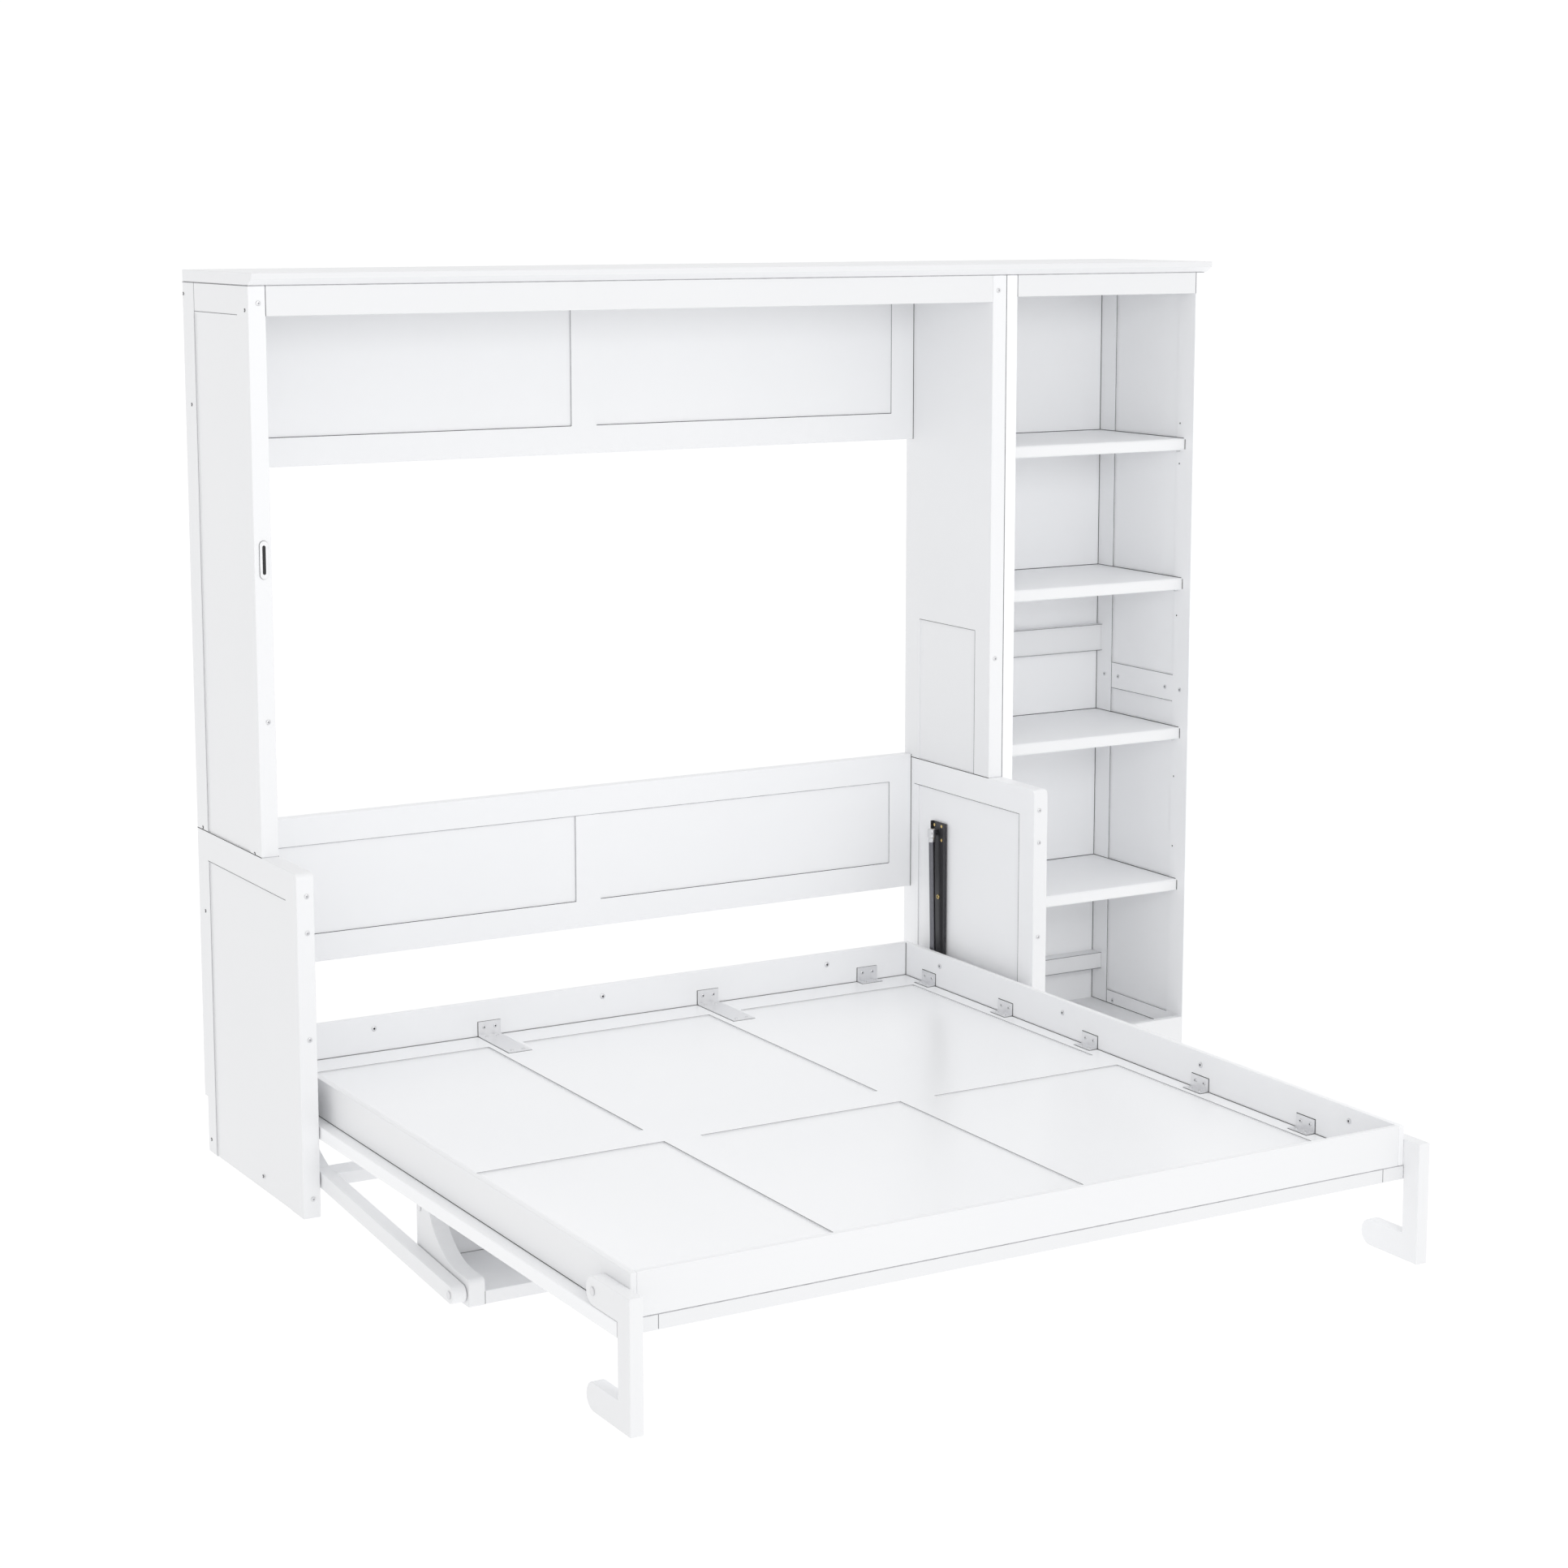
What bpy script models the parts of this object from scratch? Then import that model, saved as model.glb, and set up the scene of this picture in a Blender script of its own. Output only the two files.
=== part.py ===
"""Murphy wall bed: a panelled cabinet with an open shelf tower on its right, a bed that
folds up about its head end, a desk that stays level under it, two fold-over legs and
two gas struts.

Dimensions are millimetres in the cabinet's own frame: X runs right from the left side's
outer face, Y runs back from the front to the cabinet's back at 0, and Z runs up from the
floor.  at() turns them into metres about the middle of the footprint.  The bed is down.
"""
import math

import bmesh
import bpy
from mathutils import Vector

# Cabinet, from left to right
SIDE = 43                          # left side and partition thickness
OPENING_RIGHT = 2070               # partition's left face
PARTITION_RIGHT = 2113
TOWER_LEFT = 2148                  # inner faces of the shelf tower
TOWER_RIGHT = 2739
CABINET_RIGHT = 2766
CROWN_RIGHT = 2774

# Cabinet, from back to front and from the floor up
FRONT = -438                       # front of posts and tower
CROWN_FRONT = -463
LOWER_FRONT = -654                 # front of the deeper lower side panels
SEAM = 826                         # where upper and lower side panels meet
CARCASS_TOP = 2171
CABINET_TOP = 2200
RAIL_THICK = 20
BED_RAIL_LOW = 2100                # underside of the front rail over the bed
TOWER_RAIL_LOW = 2113
STILE = 73                         # width of the stiles and rails of panelled boards
RECESS = 3                         # how far a board's panel lies below its frame
PARTITION_BACK = -18
PANEL_FRONT = -53                  # front face of the two back panels
PANEL_BACK = -20
UPPER_PANEL_LOW = 1715
LOWER_PANEL_LOW = 458
LOWER_PANEL_HIGH = 834

LATCH_X = 23.5                     # oblong latch plate on the left post
LATCH_Z = (1489, 1579)
LATCH_HALF = 10.5                  # half its width
LATCH_SLOT = 4.2                   # half the width of its slot

# Shelf tower
SHELF_TOPS = (1713, 1324, 902, 468)
SHELF_THICK = 32
SHELF_FRONT = -402
TOWER_PANEL = 4                    # thickness of the tower's back
BOTTOM_SHELF_TOP = 39
TOE_BOARD_TOP = 77

# Bed
BED_LEFT = 77                      # outer faces of the mattress rails
BED_RIGHT = 2036
BED_RAIL = 14
BED_BACK = -92
BED_FRONT = -2163
DECK_LOW = 186                     # underside of the framed deck
DECK_TOP = 218
BED_TOP = 311
LEDGE = 31                         # how far the deck sticks out past the side rails
DECK_COLUMNS = ((136, 687), (784, 1332), (1430, 1977))
DECK_ROWS = ((-2053, -1162), (-1057, -212))
DECK_PANEL_DROP = 3                # top of the deck's panels below its frame
HINGE = (-320, 240)                # bed's turning axis, Y and Z

# Desk and the links that keep it level
DESK_PIVOT = (-1144, 156)          # desk hangs from the deck here
LINK_PIVOT = (-1375, 30)           # links carry the desk's front here
LINK_ANCHOR = (LINK_PIVOT[0] + HINGE[0] - DESK_PIVOT[0],
               LINK_PIVOT[1] + HINGE[1] - DESK_PIVOT[1])
LINK_LEFT = (46, 79)               # left link between these X
LINK_BAR = 40                      # height of the link's bar
LINK_SLOPE = 4.55                  # degrees it climbs towards the back
LINK_EYE = 26                      # radius of its raised eye
LINK_RAIL = (-672, -604)           # rail joining the two links, Y
BRACKET_LEFT = (81, 119)
DESK_FRONT = -1400
DESK_BACK = -1127
DESK_LOW = 4
DESK_TOP = 34
DESK_PANEL = 21                    # thickness of the desk's back board
DESK_PANEL_TOP = 120
HANGER = 24                        # half width of the block the desk hangs from
LINK_PLAY = 1                      # clearance of the link's bolt in the desk bracket

# Legs, a square bracket shape seen from the side
LEG_LEFT = (47, 76.7)
LEG_POST = (-2216, -2164)
LEG_ARM = 61                       # height of the upper arm and of the foot
LEG_PIVOT = (-2060, 249)
LEG_FOOT_BACK = -2027              # rounded back end of the foot

# Gas struts
STRUT_STUD = (-188, 634)           # upper ball stud on the cabinet, Y and Z
STRUT_LEVER = (-200, 247)          # lower stud on the bed
STRUT_X = 62                       # middle of the left strut
CYLINDER = (18, 330)               # covered length, measured from the upper stud
CYLINDER_RADIUS = 8
ROD_RADIUS = 4
ROD_TOP = 100
EYE_RADIUS = 11
STUD_RADIUS = 4
CHANNEL_Y = (-236, -168)           # shallow channel that carries the upper stud
CHANNEL_Z = (240, 665)
CHANNEL_DEPTH = 9
CHANNEL_WALL = 2.5

# Pivots and bolts, radii
HINGE_PIN = 12
HUB = 21
ANCHOR_PIN = 10
BOLT = 6
BOLT_HEAD = 9

# Fits
GAP = 0.3                          # between parts that touch
RUNNING = 0.4                      # round a pin in its hole
SOFT_EDGE = 1.2                    # eased edge of painted boards
ROUND = 24                         # sides of a round pin or hole

MIDDLE = (1387, -1108)             # middle of the footprint
MIRROR = SIDE + OPENING_RIGHT      # the bed opening mirrors X to MIRROR - X


# ---------------------------------------------------------------- materials
def material(name, colour, metallic, roughness):
    made = bpy.data.materials.new(name)
    made.use_nodes = True
    shader = made.node_tree.nodes["Principled BSDF"]
    shader.inputs["Base Color"].default_value = (*colour, 1.0)
    shader.inputs["Metallic"].default_value = metallic
    shader.inputs["Roughness"].default_value = roughness
    return made


def paint(name):
    return material(name, (0.86, 0.87, 0.89), 0.0, 0.45)


def steel(name):
    return material(name, (0.62, 0.63, 0.65), 1.0, 0.35)


def black(name):
    return material(name, (0.015, 0.015, 0.017), 0.0, 0.4)


# ------------------------------------------------------------ frame and bodies
def at(x, y, z):
    """Cabinet millimetres to metres about the middle of the footprint."""
    return Vector((x - MIDDLE[0], y - MIDDLE[1], z)) / 1000


class Body:
    """Everything that moves together, hung from an empty on its joint axis."""

    def __init__(self, name, x, pivot, parent=None):
        self.centre = at(x, *pivot)
        self.empty = bpy.data.objects.new(name, None)
        self.empty.location = self.centre
        if parent:
            self.empty.parent = parent.empty
            self.empty.location = self.centre - parent.centre
        bpy.context.collection.objects.link(self.empty)


# ------------------------------------------------------------------ solids
def block(x, y, z):
    """Box between the pairs x, y and z."""
    outline = [(y[0], z[0]), (y[1], z[0]), (y[1], z[1]), (y[0], z[1])]
    return prism(outline, x)


def prism(outline, along, axis="X"):
    """Outline pushed along an axis: (Y, Z) along X, (X, Z) along Y, (X, Y) along Z."""
    points = []
    for level in along:
        for a, b in outline:
            points.append({"X": (level, a, b), "Y": (a, level, b), "Z": (a, b, level)}[axis])
    count = len(outline)
    faces = [tuple(range(count)), tuple(range(count, 2 * count))]
    for i in range(count):
        j = (i + 1) % count
        faces.append((i, j, j + count, i + count))
    return points, faces


def arc(centre, radius, start, end, steps):
    """Points on an arc, angles in degrees."""
    points = []
    for i in range(steps + 1):
        angle = math.radians(start + (end - start) * i / steps)
        points.append((centre[0] + radius * math.cos(angle),
                       centre[1] + radius * math.sin(angle)))
    return points


def disc(centre, radius, along, axis="X", sides=ROUND):
    return prism(arc(centre, radius, 0, 360 - 360 / sides, sides - 1), along, axis)


def mirrored(solid):
    """The same solid on the other side of the bed opening."""
    points, faces = solid
    return [(MIRROR - x, y, z) for x, y, z in points], faces


def mesh_from(name, solids, centre):
    """Mesh of closed solids about a centre in metres, every face turned outward."""
    shape = bmesh.new()
    for points, faces in solids:
        corners = [shape.verts.new(at(*point) - centre) for point in points]
        for face in faces:
            shape.faces.new([corners[i] for i in face])
    bmesh.ops.recalc_face_normals(shape, faces=shape.faces)
    mesh = bpy.data.meshes.new(name)
    shape.to_mesh(mesh)
    shape.free()
    return mesh


def combine(made, operation, solids, centre):
    """Join solids to an object, or cut them from it, with a hidden helper mesh."""
    name = f"{made.name}_{operation.lower()}"
    helper = bpy.data.objects.new(name, mesh_from(name, solids, centre))
    helper.parent = made.parent
    helper.hide_render = True
    helper.display_type = "WIRE"
    bpy.context.collection.objects.link(helper)
    boolean = made.modifiers.new(name, "BOOLEAN")
    boolean.operation = operation
    boolean.solver = "EXACT"
    boolean.object = helper


def part(name, solid, look, body=None, soft=0.0, joins=(), cuts=()):
    """One named object from a closed solid, with eased edges, joined solids and cuts."""
    centre = body.centre if body else at(MIDDLE[0], MIDDLE[1], 0)
    made = bpy.data.objects.new(name, mesh_from(name, [solid], centre))
    if body:
        made.parent = body.empty
    made.data.materials.append(look(name + "_look"))
    bpy.context.collection.objects.link(made)
    if soft:
        ease = made.modifiers.new("eased edges", "BEVEL")
        ease.width = soft / 1000
        ease.segments = 1
        ease.limit_method = "ANGLE"
    for join in joins:
        combine(made, "UNION", [join], centre)
    if cuts:
        combine(made, "DIFFERENCE", cuts, centre)
    return made


def pair(name, solid, look, bodies=(None, None), soft=0.0, joins=(), cuts=()):
    """A left part and its mirror image on the right."""
    left, right = bodies
    return (part("left_" + name, solid, look, left, soft, joins, cuts),
            part("right_" + name, mirrored(solid), look, right, soft,
                 [mirrored(join) for join in joins], [mirrored(cut) for cut in cuts]))


def smooth(*parts):
    """Shade round parts smooth, keeping their rims sharp."""
    for made in parts:
        made.data.shade_smooth()
        made.data.set_sharp_from_angle(angle=math.radians(40))


def lathe(centre, profile, sides=ROUND):
    """Closed solid turned about an X axis from (x, radius) stations."""
    points = []
    for x, radius in profile:
        for y, z in arc(centre, radius, 0, 360 - 360 / sides, sides - 1):
            points.append((x, y, z))
    rings = len(profile)
    faces = [tuple(range(sides)), tuple(range((rings - 1) * sides, rings * sides))]
    for ring in range(rings - 1):
        for i in range(sides):
            j = (i + 1) % sides
            low = ring * sides
            faces.append((low + i, low + j, low + sides + j, low + sides + i))
    return points, faces


def bolt_with_head(centre, outer, end):
    """Bolt from a low head on the face at outer to its end, along X."""
    return lathe(centre, ((outer - 2.5, BOLT_HEAD), (outer - GAP, BOLT_HEAD),
                          (outer - GAP, BOLT), (end, BOLT)))


# ------------------------------------------------------------- cabinet sides
def side_recess(faces, y, z):
    """Shallow recess cut into one or both faces of an upright board."""
    cuts = []
    for face, direction in faces:
        inner = face + direction * RECESS
        outer = face - direction * 10
        cuts.append(block(sorted((inner, outer)), y, z))
    return cuts


def lower_outline(back):
    """Side view of a lower side panel, with its rounded front top corner."""
    corner = 15
    outline = [(back, 0), (back, SEAM)]
    outline += arc((LOWER_FRONT + corner, SEAM - corner), corner, 90, 180, 6)
    outline.append((LOWER_FRONT, 0))
    return outline


def left_side():
    faces = ((0, 1), (SIDE, -1))
    recess = (FRONT + STILE, -STILE)
    part("left_upper_side", block((0, SIDE), (FRONT, 0), (SEAM + GAP, CARCASS_TOP)), paint,
         soft=SOFT_EDGE, cuts=side_recess(faces, recess, (SEAM - 10, CARCASS_TOP - STILE)))
    skirting_notch = block((-10, SIDE + 10), (-22, 10), (-10, 141))
    recess = (LOWER_FRONT + STILE, -STILE)
    part("left_lower_side", prism(lower_outline(0), (0, SIDE)), paint, soft=SOFT_EDGE,
         cuts=side_recess(faces, recess, (-10, SEAM - STILE)) + [skirting_notch])


def partition():
    x = (OPENING_RIGHT, PARTITION_RIGHT)
    faces = ((OPENING_RIGHT, 1),)
    recess = (FRONT + STILE, PARTITION_BACK - STILE)
    part("partition_upper", block(x, (FRONT, PARTITION_BACK), (SEAM + GAP, CARCASS_TOP)),
         paint, soft=SOFT_EDGE, cuts=side_recess(faces, recess, (SEAM - 10, 1219)))
    recess = (LOWER_FRONT + STILE, PARTITION_BACK - STILE)
    part("partition_lower", prism(lower_outline(PARTITION_BACK), x), paint, soft=SOFT_EDGE,
         cuts=side_recess(faces, recess, (-10, SEAM - STILE)))


def tower_sides():
    part("tower_left_side", block((PARTITION_RIGHT + GAP, TOWER_LEFT), (FRONT, 0),
                                   (0, CARCASS_TOP)), paint, soft=SOFT_EDGE)
    faces = ((TOWER_RIGHT, 1), (CABINET_RIGHT, -1))
    recess = (FRONT + STILE, -STILE)
    cuts = side_recess(faces, recess, (TOE_BOARD_TOP, 973))
    cuts += side_recess(faces, recess, (1047, CARCASS_TOP - STILE))
    part("tower_right_side", block((TOWER_RIGHT, CABINET_RIGHT), (FRONT, 0),
                                    (0, CARCASS_TOP)), paint, soft=SOFT_EDGE, cuts=cuts)


def crown():
    """Top board whose front overhangs the posts on a sloping underside."""
    low = CARCASS_TOP + GAP
    outline = [(0, low), (0, CABINET_TOP), (CROWN_FRONT, CABINET_TOP),
               (CROWN_FRONT, CABINET_TOP - 15), (FRONT, low)]
    part("crown_board", prism(outline, (0, CROWN_RIGHT)), paint, soft=SOFT_EDGE)


def front_rails():
    y = (FRONT, FRONT + RAIL_THICK)
    part("front_top_rail", block((SIDE + GAP, OPENING_RIGHT - GAP), y,
                                  (BED_RAIL_LOW, CARCASS_TOP)), paint, soft=SOFT_EDGE)
    part("tower_top_rail", block((TOWER_LEFT + GAP, TOWER_RIGHT - GAP), y,
                                  (TOWER_RAIL_LOW, CARCASS_TOP)), paint, soft=SOFT_EDGE)


def back_panel(name, z, recess_z):
    """Back panel across the bed opening: two recesses either side of a centre stile."""
    x = (SIDE + GAP, OPENING_RIGHT - GAP)
    centre = (x[0] + x[1]) / 2
    cuts = []
    for left, right in ((x[0] + STILE, centre - STILE / 2), (centre + STILE / 2, x[1] - STILE)):
        cuts.append(block((left, right), (PANEL_FRONT - 10, PANEL_FRONT + RECESS), recess_z))
        cuts.append(block((left, right), (PANEL_BACK - RECESS, PANEL_BACK + 10), recess_z))
    part(name, block(x, (PANEL_FRONT, PANEL_BACK), z), paint, soft=SOFT_EDGE, cuts=cuts)


def back_panels():
    back_panel("upper_back_panel", (UPPER_PANEL_LOW, CARCASS_TOP),
               (UPPER_PANEL_LOW + STILE, CARCASS_TOP - STILE))
    back_panel("lower_back_panel", (LOWER_PANEL_LOW, LOWER_PANEL_HIGH),
               (LOWER_PANEL_LOW + STILE, LOWER_PANEL_HIGH - STILE))


# -------------------------------------------------------------- shelf tower
def tower_x():
    return TOWER_LEFT + GAP, TOWER_RIGHT - GAP


def shelf_outline(back, top):
    """Side view of a shelf with a rounded front edge."""
    corner = 6
    low = top - SHELF_THICK
    outline = [(back, low), (back, top)]
    outline += arc((SHELF_FRONT + corner, top - corner), corner, 90, 180, 4)
    outline += arc((SHELF_FRONT + corner, low + corner), corner, 180, 270, 4)
    return outline


def tower():
    x = tower_x()
    face = -TOWER_PANEL - GAP
    part("tower_back_panel", block(x, (-TOWER_PANEL, 0), (0, CARCASS_TOP)), paint)
    for number, top in enumerate(SHELF_TOPS, 1):
        part(f"tower_shelf_{number}", prism(shelf_outline(face, top), x), paint)
    part("tower_back_rail_upper", block(x, (-25, face), (1077, 1152)), paint, soft=SOFT_EDGE)
    part("tower_back_rail_lower", block(x, (-48, face), (137, 183)), paint, soft=SOFT_EDGE)
    part("tower_bottom_shelf", block(x, (FRONT + RAIL_THICK + GAP, face),
                                      (BOTTOM_SHELF_TOP - 20, BOTTOM_SHELF_TOP)), paint)
    part("tower_toe_board", block(x, (FRONT, FRONT + RAIL_THICK), (0, TOE_BOARD_TOP)),
         paint, soft=SOFT_EDGE)


# ---------------------------------------------------------------- latch plate
def latch_plate():
    """Oblong latch plate on the left post, with a slot through it."""
    low, high = LATCH_Z
    outline = arc((LATCH_X, high - LATCH_HALF), LATCH_HALF, 0, 180, 8)
    outline += arc((LATCH_X, low + LATCH_HALF), LATCH_HALF, 180, 360, 8)
    slot = arc((LATCH_X, high - LATCH_HALF - 4), LATCH_SLOT, 0, 180, 6)
    slot += arc((LATCH_X, low + LATCH_HALF + 4), LATCH_SLOT, 180, 360, 6)
    face = FRONT - GAP
    part("latch_plate", prism(outline, (face - 2.5, face), "Y"), steel,
         cuts=[prism(slot, (face - 10, face + 10), "Y")])


# ----------------------------------------------------------------------- bed
def bed_deck(bed):
    """Framed deck with six panels lying a little below its frame on both faces."""
    x = (BED_LEFT - LEDGE, BED_RIGHT + LEDGE)
    cuts = []
    for column in DECK_COLUMNS:
        for row in DECK_ROWS:
            cuts.append(block(column, row, (DECK_TOP - DECK_PANEL_DROP, DECK_TOP + 10)))
            cuts.append(block(column, row, (DECK_LOW - 10, DECK_LOW + DECK_PANEL_DROP)))
    part("bed_deck", block(x, (BED_FRONT, BED_BACK), (DECK_LOW, DECK_TOP)), paint, bed,
         soft=SOFT_EDGE, cuts=cuts)


def bed_rails(bed):
    z = (DECK_TOP + GAP, BED_TOP)
    between = (BED_LEFT + BED_RAIL + GAP, MIRROR - BED_LEFT - BED_RAIL - GAP)
    side = block((BED_LEFT, BED_LEFT + BED_RAIL), (BED_FRONT, BED_BACK), z)
    pair("bed_rail", side, paint, (bed, bed), soft=SOFT_EDGE)
    part("back_bed_rail", block(between, (BED_BACK - BED_RAIL, BED_BACK), z), paint, bed,
         soft=SOFT_EDGE)
    part("front_bed_rail", block(between, (BED_FRONT, BED_FRONT + BED_RAIL), z), paint, bed,
         soft=SOFT_EDGE)


def back_rail_angles(bed):
    """Steel angles joining the back rail to the deck; two have a long plate."""
    face = BED_BACK - BED_RAIL - GAP
    low = DECK_TOP + GAP
    for number, (x, reach) in enumerate(((738, 186), (1387, 200), (1893, 30)), 1):
        outline = [(face, low), (face - reach, low), (face - reach, low + 2), (face - 2, low + 2),
                   (face - 2, low + 39), (face, low + 39)]
        part(f"back_rail_angle_{number}", prism(outline, (x - 32, x + 32)), steel, bed)


def bed_hinge(bed):
    """Each side: a fixed pin turning in a hub on the bed's side rail."""
    flange = SIDE + 6
    pin = lathe(HINGE, ((SIDE + GAP, HUB - 1), (flange, HUB - 1), (flange, HINGE_PIN),
                        (BED_LEFT - 6, HINGE_PIN)))
    smooth(*pair("bed_hinge_pin", pin, steel))
    hub = lathe(HINGE, ((flange + 2, HUB), (BED_LEFT - GAP, HUB)))
    bore = disc(HINGE, HINGE_PIN + RUNNING, (SIDE, BED_LEFT - 4))
    smooth(*pair("bed_hinge_hub", hub, steel, (bed, bed), cuts=[bore]))


# ---------------------------------------------------------------------- desk
def bracket_outline():
    """Side view of a desk bracket: tall at the back, hollow curve down to the nose."""
    nose = DESK_FRONT - 2
    outline = [(DESK_BACK, 2)]
    outline += arc((DESK_BACK - 10, 170), 10, 0, 90, 4)
    outline += [(-1166, 180)]
    outline += arc((-1352, 245), 180, -25, -83, 10)
    outline += arc((nose + 12, 53), 12, 100, 180, 4)
    outline += arc((nose + 6, 8), 6, 180, 270, 3)
    return outline


def desk_parts(bed, desk):
    left, right = BRACKET_LEFT
    bores = [disc(DESK_PIVOT, BOLT + RUNNING, (left - 5, right + 5)),
             disc(LINK_PIVOT, BOLT + LINK_PLAY, (left - 5, left + 24))]
    pair("desk_bracket", prism(bracket_outline(), BRACKET_LEFT), paint, (desk, desk),
         soft=SOFT_EDGE, cuts=bores)
    between = (right + GAP, MIRROR - right - GAP)
    panel_front = DESK_BACK - DESK_PANEL
    part("desk_top", block(between, (DESK_FRONT, panel_front - GAP), (DESK_LOW, DESK_TOP)),
         paint, desk, soft=SOFT_EDGE)
    part("desk_back_panel", block(between, (panel_front, DESK_BACK),
                                  (DESK_LOW, DESK_PANEL_TOP)), paint, desk, soft=SOFT_EDGE)
    y = DESK_PIVOT[0]
    hanger = [(y + HANGER, DECK_LOW - GAP), (y - HANGER, DECK_LOW - GAP)]
    hanger += arc(DESK_PIVOT, HANGER, 180, 360, 10)
    hanger_left = right + 2
    pair("desk_hanger", prism(hanger, (hanger_left, hanger_left + 20)), paint, (bed, bed))
    bolt = bolt_with_head(DESK_PIVOT, left, hanger_left - GAP)
    smooth(*pair("desk_hanger_bolt", bolt, steel, (bed, bed)))


def link_outline():
    """Side view of a link: a sloping bar with a round front and a raised eye behind."""
    half = LINK_BAR / 2
    rise = math.tan(math.radians(LINK_SLOPE))
    back_y = LINK_ANCHOR[0]
    bar_z = LINK_PIVOT[1] + (back_y - LINK_PIVOT[0]) * rise
    outline = arc(LINK_PIVOT, half, 90 + LINK_SLOPE, 270 + LINK_SLOPE, 12)
    outline += arc((back_y, bar_z), half, 270 + LINK_SLOPE, 320 + LINK_SLOPE, 3)
    outline += arc(LINK_ANCHOR, LINK_EYE, -20, 90 + LINK_SLOPE, 6)
    outline.append((back_y - 70, bar_z - 70 * rise + half))
    return outline


def link_parts(links):
    left, right = LINK_LEFT
    bore = disc(LINK_ANCHOR, ANCHOR_PIN + RUNNING, (left - 5, right + 5))
    front_bore = disc(LINK_PIVOT, BOLT + RUNNING, (left - 5, right + 5))
    pair("link_arm", prism(link_outline(), LINK_LEFT), paint, (links, links),
         soft=SOFT_EDGE, cuts=[bore, front_bore])
    part("link_cross_rail", block((right + GAP, MIRROR - right - GAP), LINK_RAIL, (76, 106)),
         paint, links, soft=SOFT_EDGE)
    flange = ANCHOR_PIN + 6
    anchor = lathe(LINK_ANCHOR, ((SIDE + GAP, flange), (left - GAP, flange),
                                 (left - GAP, ANCHOR_PIN), (right + GAP, ANCHOR_PIN),
                                 (right + GAP, flange - 1), (right + 4, flange - 1)))
    smooth(*pair("link_anchor_pin", anchor, steel))
    bolt = bolt_with_head(LINK_PIVOT, left, BRACKET_LEFT[0] + 20)
    smooth(*pair("link_front_bolt", bolt, steel, (links, links)))


# ---------------------------------------------------------------------- legs
def leg_outline():
    """Side view of a leg: a post with a pivoting arm above and a foot below."""
    front, rear = LEG_POST
    half = LEG_ARM / 2
    pivot_z = LEG_PIVOT[1]
    outline = [(front, 0)]
    outline += arc((LEG_FOOT_BACK - half, half), half, -90, 90, 8)
    outline += [(rear, LEG_ARM), (rear, pivot_z - half)]
    outline += arc(LEG_PIVOT, half, -90, 90, 8)
    outline.append((front, pivot_z + half))
    return outline


def legs(bed, bodies):
    inner, outer = LEG_LEFT
    bore = disc(LEG_PIVOT, BOLT + RUNNING, (inner - 5, outer + 5))
    pair("leg", prism(leg_outline(), LEG_LEFT), paint, bodies, soft=SOFT_EDGE, cuts=[bore])
    bolt = bolt_with_head(LEG_PIVOT, inner, BED_LEFT - GAP)
    smooth(*pair("leg_bolt", bolt, steel, (bed, bed)))


# -------------------------------------------------------------------- struts
def strut_point(distance, offset):
    """Point a distance down the strut from its upper stud, offset to the front."""
    length = math.dist(STRUT_STUD, STRUT_LEVER)
    down_y = (STRUT_LEVER[0] - STRUT_STUD[0]) / length
    down_z = (STRUT_LEVER[1] - STRUT_STUD[1]) / length
    return (STRUT_STUD[0] + down_y * distance + down_z * offset,
            STRUT_STUD[1] + down_z * distance - down_y * offset)


def round_bar(x, start, end, radius, sides=16):
    """Round bar lying along the strut between two distances from the upper stud."""
    points = []
    for distance in (start, end):
        for across, sideways in arc((0, 0), radius, 0, 360 - 360 / sides, sides - 1):
            y, z = strut_point(distance, sideways)
            points.append((x + across, y, z))
    faces = [tuple(range(sides)), tuple(range(sides, 2 * sides))]
    for i in range(sides):
        j = (i + 1) % sides
        faces.append((i, j, j + sides, i + sides))
    return points, faces


def strut_channel():
    """Plan view of the shallow channel on the cabinet side, open towards the bed."""
    wall = SIDE + GAP
    back, front = CHANNEL_Y[1], CHANNEL_Y[0]
    plate = wall + CHANNEL_WALL
    rim = wall + CHANNEL_DEPTH
    return [(wall, front), (rim, front), (rim, front + CHANNEL_WALL),
            (plate, front + CHANNEL_WALL), (plate, back - CHANNEL_WALL),
            (rim, back - CHANNEL_WALL), (rim, back), (wall, back)]


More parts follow.
